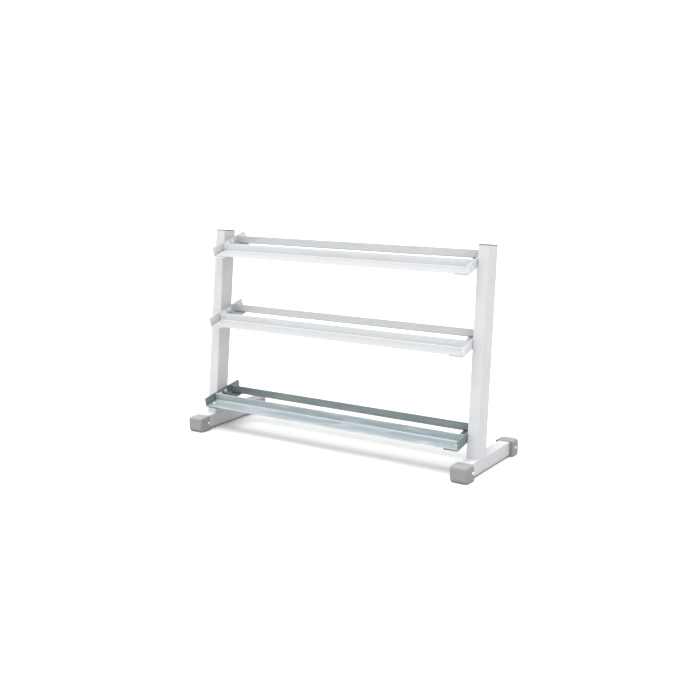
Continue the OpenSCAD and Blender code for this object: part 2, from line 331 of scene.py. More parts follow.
def soften(piece: bpy.types.Object, radius: float, wear_and_edge_light: float, segments: int = 3) -> None:
    """Rounds a piece's sharp edges, and marks the rounded faces with the rim attribute.

    Args:
        piece: What is rounded.
        radius: The width of the rounding.
        wear_and_edge_light: How much the rounded faces get their edge colour, from 0 to 1.
        segments: How many faces go round an edge.
    """
    for _ in range(2):
        piece.data.materials.append(None)
    bevel = piece.modifiers.new("edges", "BEVEL")
    bevel.width = radius
    bevel.segments = segments
    bevel.limit_method = "ANGLE"
    bevel.angle_limit = SHARP_ANGLE
    bevel.material = 1
    settle(piece)
    faces = piece.data.polygons
    rim = piece.data.attributes.new("rim", "FLOAT", "FACE")
    rim.data.foreach_set("value", [wear_and_edge_light * f.material_index for f in faces])
    faces.foreach_set("material_index", [0] * len(faces))
    piece.data.materials.clear()


def paint_bend_highlight(piece: bpy.types.Object, stand: Matrix, thick: float, bend: float, strip: float) -> None:
    """Marks the inside of an angle's bend with the bend attribute, which carries a painted highlight.

    Args:
        piece: The angle.
        stand: Its section's place.
        thick: The sheet's thickness.
        bend: The inside radius of the bend.
        strip: Over what distance past the bend the mark fades.
    """
    back, heel = stand.inverted(), bend + thick
    marks = []
    for vertex in piece.data.vertices:
        x, y, _ = back @ vertex.co
        inside = min(x, y) > thick - 0.1 * MM
        past = max(x, y) - heel
        marks.append(max(0.0, min(1.0, 1 - past / strip)) if inside else 0.0)
    piece.data.attributes.new("bend", "FLOAT", "POINT").data.foreach_set("value", marks)


def smooth(piece: bpy.types.Object) -> None:
    """Shades a piece smooth, with its sharp edges kept and its flat faces flat.

    Args:
        piece: The piece.
    """
    data = piece.data
    data.polygons.foreach_set("use_smooth", [True] * len(data.polygons))
    data.set_sharp_from_angle(angle=SHARP_ANGLE)
    weigh = piece.modifiers.new("flat", "WEIGHTED_NORMAL")
    weigh.keep_sharp = True
    settle(piece)


# ---- Finishes ----


@dataclass
class Shading:
    """One material's node tree, and the few nodes that its pattern needs."""

    name: str

    def __post_init__(self) -> None:
        """Makes the material."""
        self.material = bpy.data.materials.new(self.name)
        self.material.use_nodes = True
        self.tree = self.material.node_tree
        self.shader = self.tree.nodes["Principled BSDF"]
        self.space = self.tree.nodes.new("ShaderNodeTexCoord").outputs["Object"]

    def node(self, kind: str, inputs: dict, **settings: object) -> bpy.types.Node:
        """Adds a node.

        Args:
            kind: The node's type, without its Shader Node prefix.
            inputs: A value or a socket for each input, by name or number.
            settings: The node's own settings.

        Returns:
            The node.
        """
        made = self.tree.nodes.new("ShaderNode" + kind)
        for key, value in settings.items():
            setattr(made, key, value)
        for key, value in inputs.items():
            if isinstance(value, bpy.types.NodeSocket):
                self.tree.links.new(value, made.inputs[key])
            else:
                made.inputs[key].default_value = value
        return made

    def noise(self, size: float, detail: float = 3.0,
              stretch: Colour = (1.0, 1.0, 1.0)) -> bpy.types.NodeSocket:
        """Adds soft noise.

        Args:
            size: The features' size, in metres.
            detail: How much finer noise it holds.
            stretch: How many times longer the features are along each axis.

        Returns:
            The noise, from 0 to 1.
        """
        scale = tuple(1 / (size * s) for s in stretch)
        placed = self.node("Mapping", {"Vector": self.space, "Scale": scale}).outputs[0]
        return self.node("TexNoise", {"Vector": placed, "Scale": 1.0, "Detail": detail}).outputs["Fac"]

    def cells(self, size: float) -> bpy.types.NodeSocket:
        """Adds flat cells with a random grey each.

        Args:
            size: A cell's size, in metres.

        Returns:
            The grey, from 0 to 1.
        """
        placed = self.node("Mapping", {"Vector": self.space, "Scale": (1 / size,) * 3}).outputs[0]
        cell = self.node("TexVoronoi", {"Vector": placed, "Scale": 1.0, "Randomness": 1.0})
        return self.node("SeparateColor", {"Color": cell.outputs["Color"]}).outputs[0]

    def ranged(self, value: bpy.types.NodeSocket, low: float, high: float,
               start: float = 0.3, end: float = 0.7) -> bpy.types.NodeSocket:
        """Maps a value from start..end to low..high, and clamps it."""
        inputs = {"Value": value, "From Min": start, "From Max": end, "To Min": low, "To Max": high}
        return self.node("MapRange", inputs).outputs[0]

    def blend(self, share: bpy.types.NodeSocket, a: object, b: object) -> bpy.types.NodeSocket:
        """Mixes two colours.

        Args:
            share: How much of b there is.
            a, b: Each a colour or a socket.

        Returns:
            The mixed colour.
        """
        mix = self.node("Mix", {0: share}, data_type="RGBA")
        for index, value in ((6, a), (7, b)):
            if isinstance(value, bpy.types.NodeSocket):
                self.tree.links.new(value, mix.inputs[index])
            else:
                mix.inputs[index].default_value = (*value, 1.0)
        return mix.outputs[2]

    def level(self) -> bpy.types.NodeSocket:
        """Tells how much a surface faces up, for the light and shade painted on up-facing faces."""
        up = self.node("SeparateXYZ", {0: self.node("NewGeometry", {}).outputs["Normal"]}).outputs[2]
        return self.ranged(up, 0.0, 1.0, 0.6, 0.95)

    def underside(self) -> bpy.types.NodeSocket:
        """Tells how much a surface faces down."""
        up = self.node("SeparateXYZ", {0: self.node("NewGeometry", {}).outputs["Normal"]}).outputs[2]
        return self.ranged(up, 1.0, 0.0, -0.62, -0.29)

    def bend(self) -> bpy.types.NodeSocket:
        """Reads how near a face is to the inside of a bend, where a highlight is painted."""
        return self.node("Attribute", {}, attribute_name="bend").outputs["Fac"]

    def tone(self) -> bpy.types.NodeSocket:
        """Reads how much painted shade darkens a whole piece."""
        return self.node("Attribute", {}, attribute_name="tone").outputs["Fac"]

    def rim(self) -> bpy.types.NodeSocket:
        """Reads the mark on a rounded edge: wear on frame and caps, painted shade on upper shelves, painted
        highlight on the bottom.
        """
        return self.node("Attribute", {}, attribute_name="rim").outputs["Fac"]

    def bump(self, height: bpy.types.NodeSocket, depth: float,
             under: bpy.types.NodeSocket | None = None) -> bpy.types.NodeSocket:
        """Turns a height into a normal.

        Args:
            height: The height, from 0 to 1.
            depth: What 1 stands for, in metres.
            under: A normal that this one lies on.

        Returns:
            The normal.
        """
        inputs = {"Height": height, "Distance": depth, "Strength": 1.0}
        if under is not None:
            inputs["Normal"] = under
        return self.node("Bump", inputs).outputs[0]

    def finish(self, colour: bpy.types.NodeSocket, roughness: bpy.types.NodeSocket,
               normal: bpy.types.NodeSocket, **constants: float) -> bpy.types.Material:
        """Joins the pattern to the shader.

        Args:
            colour, roughness, normal: The sockets that vary over the surface.
            constants: What is the same all over, by the socket's name with _ for a space.

        Returns:
            The material.
        """
        for key, socket in (("Base Color", colour), ("Roughness", roughness), ("Normal", normal)):
            self.tree.links.new(socket, self.shader.inputs[key])
        for key, value in constants.items():
            self.shader.inputs[key.replace("_", " ")].default_value = value
        return self.material


@dataclass(frozen=True)
class PowderCoat:
    """Satin powder coat, with a faint orange peel, thinner paint on its edges and painted light on its
    up-facing faces.
    """

    light: Colour = (0.391, 0.398, 0.405)
    shade: Colour = (0.365, 0.371, 0.379)
    edge: Colour = (0.416, 0.422, 0.429)
    painted_top_light: Colour = (0.481, 0.491, 0.509)
    peel_size: float = 2.2 * MM
    peel_depth: float = 0.035 * MM

    def material(self, name: str) -> bpy.types.Material:
        """Builds the finish.

        Args:
            name: The material's name.

        Returns:
            The material.
        """
        s = Shading(name)
        cloud = s.ranged(s.noise(90 * MM, 4.0), 0.0, 1.0)
        grain = s.noise(1.1 * MM, 2.0)
        colour = s.blend(cloud, self.shade, self.light)
        # Painted light: up-facing faces are lightened, as if lit from above.
        colour = s.blend(s.level(), colour, self.painted_top_light)
        colour = s.blend(s.rim(), colour, self.edge)
        roughness = s.ranged(s.noise(35 * MM, 5.0), 0.34, 0.46)
        normal = s.bump(s.noise(self.peel_size, 1.0), self.peel_depth, s.bump(grain, 0.01 * MM))
        return s.finish(colour, roughness, normal, Specular_IOR_Level=0.5)


@dataclass(frozen=True)
class PlatedSheet:
    """Rolled and plated sheet steel: streaks along X, stains, light glints and a faint spangle, with
    painted shade and painted highlights.
    """

    light: Colour
    dark: Colour
    stain: Colour
    edge: Colour
    painted_shade_colour: Colour
    bend_highlight: Colour
    painted_top_shade: float = 0.0
    glint: float = 0.1
    gloss: float = 0.5
    metallic: float = 0.5
    smoothest: float = 0.30
    roughest: float = 0.46

    def material(self, name: str) -> bpy.types.Material:
        """Builds the finish.

        Args:
            name: The material's name.

        Returns:
            The material.
        """
        s = Shading(name)
        streaks = s.noise(2.5 * MM, 3.0, (70.0, 1.0, 1.0))
        bands = s.noise(14 * MM, 3.0, (18.0, 1.0, 1.0))
        patches = s.noise(45 * MM, 4.0, (3.0, 1.0, 1.0))
        spangle = s.cells(7 * MM)
        colour = s.blend(s.ranged(bands, 0.0, 1.0, 0.25, 0.75), self.dark, self.light)
        colour = s.blend(s.ranged(patches, 0.0, 0.7, 0.42, 0.7), colour, self.stain)
        colour = s.blend(s.ranged(streaks, 0.0, 0.35, 0.45, 0.8), colour, self.light)
        colour = s.blend(s.ranged(spangle, 0.0, 0.10, 0.0, 1.0), colour, self.edge)
        # Painted shade: up-facing faces are darkened, on the upper shelves.
        colour = s.blend(s.ranged(s.level(), 0.0, self.painted_top_shade, 0.0, 1.0), colour, self.painted_shade_colour)
        # Painted shade: down-facing faces are darkened.
        colour = s.blend(s.ranged(s.underside(), 0.0, 0.85, 0.0, 1.0), colour, self.painted_shade_colour)
        glints = s.noise(30 * MM, 5.0, (5.0, 1.0, 1.0))
        colour = s.blend(s.ranged(glints, 0.0, self.glint, 0.5, 0.62), colour, self.edge)
        # Painted shade: chosen pieces are darkened as a whole.
        colour = s.blend(s.tone(), colour, self.painted_shade_colour)
        # Painted highlight: a light strip along the inside of each bend.
        colour = s.blend(s.bend(), colour, self.bend_highlight)
        # Painted edge colour on rounded edges: painted shade on the upper shelves, a painted highlight on
        # the bottom shelf.
        colour = s.blend(s.rim(), colour, self.edge)
        roughness = s.ranged(streaks, self.smoothest, self.roughest)
        rolled = s.bump(s.noise(0.8 * MM, 2.0, (60.0, 1.0, 1.0)), 0.012 * MM)
        normal = s.bump(s.noise(60 * MM, 1.0, (2.0, 1.0, 1.0)), 0.35 * MM, rolled)
        return s.finish(colour, roughness, normal, Metallic=self.metallic, Specular_IOR_Level=self.gloss)


@dataclass(frozen=True)
class ZincPlate:
    """Bright zinc plate on a fastener, clouded where it was handled, and darkened by painted shade on
    chosen pieces.
    """

    light: Colour = (0.86, 0.87, 0.89)
    cloud: Colour = (0.68, 0.70, 0.74)
    painted_shade_colour: Colour = (0.40, 0.41, 0.43)

    def material(self, name: str) -> bpy.types.Material:
        """Builds the finish.

        Args:
            name: The material's name.

        Returns:
            The material.
        """
        s = Shading(name)
        clouds = s.noise(5 * MM, 4.0)
        colour = s.blend(s.ranged(clouds, 0.0, 0.8), self.light, self.cloud)
        # Painted shade: chosen fasteners are darkened as a whole.
        colour = s.blend(s.tone(), colour, self.painted_shade_colour)
        roughness = s.ranged(s.noise(2.5 * MM, 4.0), 0.22, 0.40)
        normal = s.bump(s.noise(0.5 * MM, 2.0), 0.008 * MM)
        return s.finish(colour, roughness, normal, Metallic=0.75)


@dataclass(frozen=True)
class Moulded:
    """Moulded rubber or plastic with a fine spark-eroded grain that holds dusty specks, and a painted sheen
    on its up-facing faces.
    """

    colour: Colour
    dusty: Colour
    painted_top_light: Colour
    grain_size: float = 0.9 * MM
    grain_depth: float = 0.06 * MM
    smoothest: float = 0.55
    roughest: float = 0.78

    def material(self, name: str) -> bpy.types.Material:
        """Builds the finish.

        Args:
            name: The material's name.

        Returns:
            The material.
        """
        s = Shading(name)
        mottle = s.noise(12 * MM, 5.0)
        top = s.ranged(s.level(), 0.0, 0.8, 0.0, 1.0)
        grain = s.noise(self.grain_size, 3.0)
        colour = s.blend(s.ranged(mottle, 0.0, 0.8), self.colour, self.dusty)
        colour = s.blend(s.ranged(grain, 0.0, 0.25, 0.55, 0.8), colour, self.dusty)
        # Painted highlight: up-facing faces are lightened as a sheen from above.
        colour = s.blend(top, colour, self.painted_top_light)
        colour = s.blend(s.rim(), colour, self.dusty)
        roughness = s.ranged(mottle, self.smoothest, self.roughest)
        normal = s.bump(grain, self.grain_depth, s.bump(s.noise(9 * MM, 2.0), 0.12 * MM))
        return s.finish(colour, roughness, normal, Specular_IOR_Level=0.4)


@dataclass
class Paintshop:
    """Every finish of the rack, made once and put on pieces by slot."""

    finishes: dict[Slot, object] = field(default_factory=lambda: {
        Slot.FRAME: PowderCoat(),
        Slot.UPPER_SHELF: PlatedSheet(
            light=(0.552, 0.567, 0.575), dark=(0.507, 0.522, 0.53), stain=(0.515, 0.519, 0.537),
            edge=(0.30, 0.305, 0.31), painted_shade_colour=(0.33, 0.33, 0.333),
            bend_highlight=(0.479, 0.493, 0.499), painted_top_shade=0.75, gloss=0.2, metallic=0.1),
        Slot.BOTTOM_SHELF: PlatedSheet(
            light=(0.327, 0.373, 0.381), dark=(0.2, 0.238, 0.245), stain=(0.244, 0.265, 0.298),
            edge=(0.429, 0.483, 0.505), painted_shade_colour=(0.095, 0.131, 0.131),
            bend_highlight=(0.365, 0.413, 0.426), glint=0.45, metallic=0.3),
        Slot.FASTENER: ZincPlate(),
        Slot.CAP: Moulded(
            colour=(0.168, 0.168, 0.172), dusty=(0.203, 0.203, 0.203), painted_top_light=(0.249, 0.249, 0.252)),
        Slot.PLUG: Moulded(
            colour=(0.06, 0.063, 0.067), dusty=(0.082, 0.084, 0.088), painted_top_light=(0.09, 0.093, 0.097),
            grain_depth=0.03 * MM, smoothest=0.38, roughest=0.55),
    })

    def __post_init__(self) -> None:
        """Builds the materials."""
        self.materials = {slot: look.material(slot.value) for slot, look in self.finishes.items()}

    def deliver(self, piece: bpy.types.Object, slot: Slot, node: str, tone: float = 0.0) -> None:
        """Paints a finished piece and puts it in its node's place.

        Args:
            piece: The piece, in place.
            slot: The slot of its finish.
            node: The frame's node that it stands for.
            tone: How much painted shade darkens the whole piece, from 0 to 1.
        """
        smooth(piece)
        faces = len(piece.data.polygons)
        # Painted shade: the whole piece is darkened by this amount.
        piece.data.attributes.new("tone", "FLOAT", "FACE").data.foreach_set("value", [tone] * faces)
        piece.data.materials.clear()
        piece.data.materials.append(self.materials[slot])
        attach(piece, "root")
        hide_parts(node)
        log.info("%s: %d faces, for %s", piece.name, faces, node)


# ---- Fasteners ----


@dataclass(frozen=True)
class Fastener:
    """A screw size, with the proportions of the parts that go with it. z points out of the head."""

    size: float
    pitch: float
    hole: float = 1.0 * MM

    @property
    def head_radius(self) -> float:
        """A round head's radius."""
        return 0.9 * self.size

    @property
    def socket(self) -> float:
        """The size across a socket's flats."""
        return 0.6 * self.size

    @property
    def flats(self) -> float:
        """The size across a hexagon head's or a nut's flats."""
        return 1.6 * self.size

    @property
    def nut_height(self) -> float:
        """A nut's height."""
        return 0.8 * self.size

    @property
    def washer_thick(self) -> float:
        """A washer's thickness."""
        return 0.2 * self.size

    @property
    def clearance(self) -> float:
        """The diameter of a hole that the screw passes through freely."""
        return self.size + self.hole

    def hex_bolt(self, length: float) -> list[Ring]:
        """A hexagon-head bolt, its head's seat at z 0.

        Args:
            length: From under the head to the end.

        Returns:
            Its rings, from the head's middle.
        """
        flats, height, rim = self.flats, 0.64 * self.size, 0.15 * MM
        neck = -2.5 * MM
        crown = [turned(0.12 * flats, height - 0.5 * MM), turned(0.36 * flats, height - 0.4 * MM),
                 turned(0.40 * flats, height), turned(0.475 * flats, height)]
        sides = [hexagon(flats, height - 0.25 * MM, 0.577), hexagon(flats, 0.6 * MM, -0.3),
                 turned(0.475 * flats, 0.4 * MM), turned(0.475 * flats, rim), turned(0.465 * flats, 0.0)]
        shank = [turned(self.size / 2, 0.0), turned(self.size / 2, neck)]
        return crown + sides + shank + self.threaded(neck, -length)

    def button_bolt(self, length: float) -> list[Ring]:
        """A button-head bolt with a hexagon socket, its head's seat at z 0.

        Args:
            length: From under the head to the end.

        Returns:
            Its rings, from the socket's floor.
        """
        radius, height, socket = self.head_radius, 0.5 * self.size, self.socket
        mouth = 0.62 * socket
        drive = [turned(0.1 * socket, 0.38 * height), hexagon(socket, 0.5 * height),
                 hexagon(socket, height - 0.45 * MM), turned(mouth, height - 0.1 * MM),
                 turned(mouth + 0.2 * MM, height)]
        side, inner, neck = 0.9 * MM, mouth + 0.3 * MM, -2.0 * MM
        dome = []
        for step in range(1, ROUND_STEPS + 1):
            share = step / ROUND_STEPS
            rise = (height - side) * math.sqrt(max(0.0, 1 - share ** 2.2))
            dome.append(turned(inner + (radius - inner) * share, side + rise))
        seat = [turned(radius, 0.25 * MM), turned(radius - 0.25 * MM, 0.0)]
        shank = [turned(self.size / 2, 0.0), turned(self.size / 2, neck)]
        return drive + dome + seat + shank + self.threaded(neck, -length)

    def pan_screw(self, length: float, height: float) -> list[Ring]:
        """A low pan-head screw with a hexagon socket.

        Args:
            length: From under the head to the point.
            height: The head's height, from its seat at z 0.

        Returns:
            Its rings, from the socket's floor.
        """
        radius, socket = self.head_radius, self.socket
        drive = [turned(0.1 * socket, 0.38 * height), hexagon(socket, 0.5 * height),
                 hexagon(socket, height - 0.35 * MM), turned(0.62 * socket, height)]
        pan = [turned(radius - pulled, height - drop) for pulled, drop in
               ((1.1 * MM, 0.02 * MM), (0.55 * MM, 0.18 * MM), (0.2 * MM, 0.5 * MM), (0.0, 1.0 * MM))]
        seat = [turned(radius, 0.0), turned(self.size / 2, 0.0)]
        return drive + pan + seat + self.threaded(-0.8 * MM, -length)

    def threaded(self, top: float, bottom: float) -> list[Ring]:
        """The thread of a shank, with a chamfered end."""
        core = self.size / 2 - 0.6 * self.pitch
        return thread(self.size, self.pitch, top, bottom + 0.4 * MM) + [turned(core, bottom)]

    def washer(self) -> list[Ring]:
        """A flat washer on z 0.

        Returns:
            Its rings, which close on themselves.
        """
        out, bore, thick, edge = self.size, self.clearance / 2, self.washer_thick, 0.2 * MM
        outside = [turned(out - edge, 0.0), turned(out, edge), turned(out, thick - edge),
                   turned(out - edge, thick)]
        return outside + [turned(bore + edge, thick), turned(bore, thick - edge), turned(bore, edge),
                          turned(bore + edge, 0.0)]

    def nut(self) -> list[Ring]:
        """A hexagon nut on z 0.

        Returns:
            Its rings, which close on themselves.
        """
        flats, height, bore = self.flats, self.nut_height, self.size / 2 + 0.05 * MM
        lip = bore + 0.5 * MM
        return [turned(lip, 0.0), turned(0.475 * flats, 0.0), hexagon(flats, 0.25 * MM, -0.577),
                hexagon(flats, height - 0.25 * MM, 0.577), turned(0.475 * flats, height),
                turned(lip, height),
                turned(bore, height - 0.5 * MM), turned(bore, 0.5 * MM)]


def scatter(name: str, rings: list[Ring], places: list[Matrix], closed: bool) -> bpy.types.Object:
    """Puts the same small part in several places, as one piece.

    Args:
        name: The piece's name, which also seeds how far each part is turned.
        rings: The part.
        places: Where it goes.
        closed: Whether its rings close on themselves.

    Returns:
        The piece.
    """
    solid, chance = Solid(), Random(name)
    for place in places:
        twist = Matrix.Rotation(chance.uniform(0.0, math.tau), 4, "Z")
        solid.shell(rings, place @ twist, closed)
    return solid.body(name)


BRACKET_SCREW = Fastener(size=10 * MM, pitch=1.5 * MM)
RAIL_SCREW = Fastener(size=8 * MM, pitch=1.25 * MM)
CAP_SCREW = Fastener(size=6 * MM, pitch=2 * MM)


def facing(side: Side) -> Matrix:
    """Turns z from the upright's inner face towards the middle of the rack."""
    return Matrix.Rotation(-side.value * math.pi / 2, 4, "Y")


# ---- End frames ----


@dataclass
class EndFrame:
    """One leaning upright welded to its base tube, with its plug, caps and screws."""

    side: Side
    shop: Paintshop
    wall: float = 2.5 * MM
    corner: float = 4 * MM
    depth: float = 76 * MM
    lean: float = math.radians(6.3)
    edge: float = 0.5 * MM
    wear: float = 0.6
    cap_screw_head: float = 3 * MM
    cap_screw_length: float = 20 * MM
    fit: float = 0.2 * MM

    def __post_init__(self) -> None:
        """Finds the tubes' places."""
        self.word = self.side.name.lower()
        self.base_low, self.base_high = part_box(f"{self.word}_base_tube")
        low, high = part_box(f"{self.word}_upright")
        self.middle_x = (low.x + high.x) / 2
        self.width = high.x - low.x
        self.length = (high.z - low.z) / math.cos(self.lean)
        self.foot = Vector((self.middle_x, low.y, low.z))
        self.along = Matrix.Translation(self.foot) @ Matrix.Rotation(-self.lean, 4, "X")

    def build(self, tiers: list["Shelf"]) -> None:
        """Builds the frame's pieces.

        Args:
            tiers: The shelves that it carries.
        """
        self.base_tube()
        self.upright(tiers)
        self.weld()
        self.plug()
        for end in End:
            self.cap(end)
        self.cap_screws()
        self.weld_nuts(tiers)

    def cap_screw_places(self, end: End) -> list[Matrix]:
        """The two screws of a cap, seated half a head deep in its sides.

        Args:
            end: Which cap.

        Returns:
            Their places, with z out of the tube.
        """
        low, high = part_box(f"{self.word}_foot_screws")
        y = high.y - CAP_SCREW.head_radius if end is End.REAR else low.y + CAP_SCREW.head_radius
        z = (low.z + high.z) / 2
        cap_low, cap_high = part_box(f"{end.name.lower()}_{self.word}_foot_cap")
        places = []
        for x, way in ((cap_low.x, -1), (cap_high.x, 1)):
            seat = Matrix.Translation((x - way * self.cap_screw_head / 2, y, z))
            places.append(seat @ Matrix.Rotation(way * math.pi / 2, 4, "Y"))
        return places

    def base_tube(self) -> None:
        """The tube on the floor side, open at both ends and bored for the caps' screws."""
        low, high = self.base_low, self.base_high
        width, height = high.x - low.x, high.z - low.z
        lay = (Matrix.Translation((self.middle_x, 0, (low.z + high.z) / 2))
               @ Matrix.Rotation(-math.pi / 2, 4, "X"))
        rings = [[Vector((x, y, z)) for x, y in tube_outline(width, height, self.corner, inset)]
                 for inset, z in ((0.0, low.y), (0.0, high.y), (self.wall, high.y), (self.wall, low.y))]
        solid, drill = Solid(), Solid()
        solid.shell(rings, lay, closed=True)
        for end in End:
            for place in self.cap_screw_places(end):
                drill.rod(CAP_SCREW.size, -OVERCUT - self.cap_screw_length, 0.0, place)
        piece = solid.body(f"base_tube_{self.word}")
        cut(piece, drill)
        soften(piece, self.edge, self.wear)
        self.shop.deliver(piece, Slot.FRAME, f"{self.word}_base_tube")

    def upright(self, tiers: list["Shelf"]) -> None:
        """The leaning tube, level at its foot, square at its top, bored for the bracket bolts.

        Args:
            tiers: The shelves that it carries.
        """
        rings = []
        for inset, top in ((0.0, False), (0.0, True), (self.wall, True), (self.wall, False)):
            ring = []
            for x, y in tube_outline(self.width, self.depth, self.corner, inset):
                deep = y + self.depth / 2
                ring.append(Vector((x, deep, self.length if top else deep * math.tan(self.lean))))
            rings.append(ring)
        solid, drill = Solid(), Solid()
        solid.shell(rings, self.along, closed=True)
        for shelf in tiers:
            for place in shelf.bracket_bolt_places(self.side):
                drill.rod(BRACKET_SCREW.clearance, -OVERCUT, OVERCUT, place)
        piece = solid.body(f"upright_{self.word}")
        cut(piece, drill)
        soften(piece, self.edge, self.wear)
        self.shop.deliver(piece, Slot.FRAME, f"{self.word}_upright")

    def weld(self, pitch: float = 2.6 * MM, rings_a_pitch: int = 6, around: int = 14) -> None:
        """The rippled bead round the upright's foot, lower on the base tube's rounded shoulders.

        Args:
            pitch: The length of one ripple.
            rings_a_pitch: How many rings a ripple has.
            around: How many points a ring has.
        """
        level_depth = self.depth / math.cos(self.lean)
        half_x, half_y = self.width / 2, level_depth / 2
        middle = Vector((self.middle_x, self.foot.y + half_y, self.foot.z))
        path = self.walk(half_x, half_y, pitch / rings_a_pitch)
        rings = []
        for i, (x, y, out) in enumerate(path):
            flank = out.x ** 2
            centre = middle + Vector((x, y, 0)) + out * (0.5 - 1.2 * flank) * MM
            centre.z += (0.4 - 1.5 * flank) * MM
            phase = (i % rings_a_pitch) / rings_a_pitch
            radius = (2.55 + 0.25 * math.sin(math.pi * phase)) * MM
            onward = Vector((-out.y, out.x, 0))
            ring = []
            for a in (math.tau * k / around for k in range(around)):
                ripple = onward * (0.9 * MM * math.cos(a - math.pi / 4))
                round_it = out * (radius * math.cos(a)) + Vector((0, 0, radius * math.sin(a)))
                ring.append(centre + round_it + ripple)
            rings.append(ring)
        solid = Solid()
        solid.shell(rings, closed=True)
        piece = solid.body(f"weld_bead_{self.word}")
        self.shop.deliver(piece, Slot.FRAME, f"{self.word}_weld_bead")

    def walk(self, half_x: float, half_y: float, step: float) -> list[tuple[float, float, Vector]]:
        """Goes round the upright's foot in even steps.

        Args:
            half_x, half_y: Half the size of the foot.
            step: The length of a step, about.

        Returns:
            Each step's x and y from the middle of the foot, and the way out of the tube there.
        """
        outline = tube_outline(2 * half_x, 2 * half_y, self.corner)
        points = [Vector((x, y, 0)) for x, y in outline]
        spans = [(a, b, (b - a).length) for a, b in zip(points, points[1:] + points[:1])]
        total = sum(length for _, _, length in spans)
        count = round(total / step)
        walked, passed, index = [], 0.0, 0
        for i in range(count):
            target = total * i / count
            while passed + spans[index][2] < target:
                passed += spans[index][2]
                index += 1
            a, b, length = spans[index]
            point = a.lerp(b, (target - passed) / length)
            nearest = Vector((max(-half_x + self.corner, min(half_x - self.corner, point.x)),
                              max(-half_y + self.corner, min(half_y - self.corner, point.y)), 0))
            walked.append((point.x, point.y, (point - nearest).normalized()))
        return walked

    def level(self, inset: float, z: float) -> Ring:
        """A level outline at a height on the plug, inset from the upright's outside."""
        outline = tube_outline(self.width, self.depth, self.corner, inset)
        return [Vector((x, y, z)) for x, y in outline]

    def plug(self, flange: float = 3 * MM, crown: float = 1.6 * MM, skirt: float = 16 * MM) -> None:
        """The ribbed plug in the tube's top, with a domed crown.

        Args:
            flange: The flange's thickness on the tube's end.
            crown: The crown's rise over the flange.
            skirt: How deep the skirt goes.
        """
        bore, thick, rib = self.wall + 0.15 * MM, 2 * MM, 0.5 * MM
        shares = (0.0, 0.3, 0.5, 0.65, 0.76, 0.84, 0.9, 0.94)
        dome = [self.level(self.width / 2 * (1 - share) * 0.98, flange + crown * math.sqrt(1 - share ** 6))
                for share in shares]
        rim = [self.level(inset, flange - drop) for inset, drop in
               ((1.1 * MM, 0.0), (0.5 * MM, 0.15 * MM), (0.15 * MM, 0.5 * MM), (0.0, 1.0 * MM))]
        under = [self.level(0.0, 0.3 * MM), self.level(0.3 * MM, 0.0), self.level(bore + rib, 0.0)]
        ribs = []
        for i in range(4):
            z = -skirt * (i + 0.6) / 4.4
            ribs += [self.level(bore + rib, z), self.level(bore, z - 0.3 * MM),
                     self.level(bore, z - 0.8 * MM), self.level(bore + rib, z - 2 * MM)]
        inside = [self.level(bore + thick, -skirt), self.level(bore + thick, -thick)]
        solid = Solid()
        solid.shell(dome + rim + under + ribs + [self.level(bore + rib, -skirt)] + inside,
                    self.along @ Matrix.Translation((0, self.depth / 2, self.length)))
        piece = solid.body(f"top_plug_{self.word}")
        self.shop.deliver(piece, Slot.PLUG, f"{self.word}_top_plug")

    def cap(self, end: End, sole: float = 3 * MM, soft: float = 9 * MM, toe: float = 18 * MM,
            outer: float = 13 * MM) -> None:
        """A moulded foot cap, thick in the sole, with a rounded toe.

        Args:
            end: Which end of the base tube it is on.
            sole: The radius of its sole's long edges and of the edges at its mouth.
            soft: The radius of its upper outer edges.
            toe: The radius of its lower outer edge.
            outer: The radius of its upright outer edges.
        """
        node = f"{end.name.lower()}_{self.word}_foot_cap"
        low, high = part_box(node)
        half, height, length = (high.x - low.x) / 2, high.z - low.z, high.y - low.y
        mouth = low.y if end is End.REAR else high.y
        turn = Matrix.Translation((self.middle_x, mouth, low.z)) @ Matrix.Scale(end.value, 4, (0, 1, 0))
        arc_steps = [1 - math.cos(math.radians(15 * i)) for i in range(7)]
        heights = sorted({round(r * s, 6) for r in (sole, toe) for s in arc_steps})
        heights += [height - z for z in sorted((soft * s for s in arc_steps), reverse=True)]
        rings = []
        for z in heights:
            tip = self.pulled(z, toe) + self.pulled(height - z, soft)
            flank = self.pulled(z, sole) + self.pulled(height - z, soft)
            outline = round_box(-half + flank, 0.0, half - flank, length - tip, sole, outer)
            rings.append([Vector((x, y, z)) for x, y in outline])
        solid, tool = Solid(), Solid()
        solid.shell(rings, turn)
        base = tube_outline(self.base_high.x - self.base_low.x, self.base_high.z - self.base_low.z,
                            self.corner, -self.fit)
        stand = Matrix.Translation((self.middle_x, 0, (self.base_low.z + self.base_high.z) / 2))
        tube_end = self.base_high.y if end is End.REAR else self.base_low.y
        reach = sorted((mouth - end.value * OVERCUT, tube_end))
        tool.bar(base, reach[0], reach[1], stand @ Matrix.Rotation(-math.pi / 2, 4, "X"))
        for place in self.cap_screw_places(end):
            tool.rod(2 * (CAP_SCREW.head_radius + self.fit), 0.0, OVERCUT, place)
            tool.rod(CAP_SCREW.size + 2 * self.fit, -self.cap_screw_length, OVERCUT, place)
        self.mould_marks(tool, turn @ Matrix.Translation((0, length, height / 2 + 5 * MM)))
        piece = solid.body(f"foot_cap_{end.name.lower()}_{self.word}")
        cut(piece, tool)
        soften(piece, 0.5 * MM, 0.5, 2)
        self.shop.deliver(piece, Slot.CAP, node)

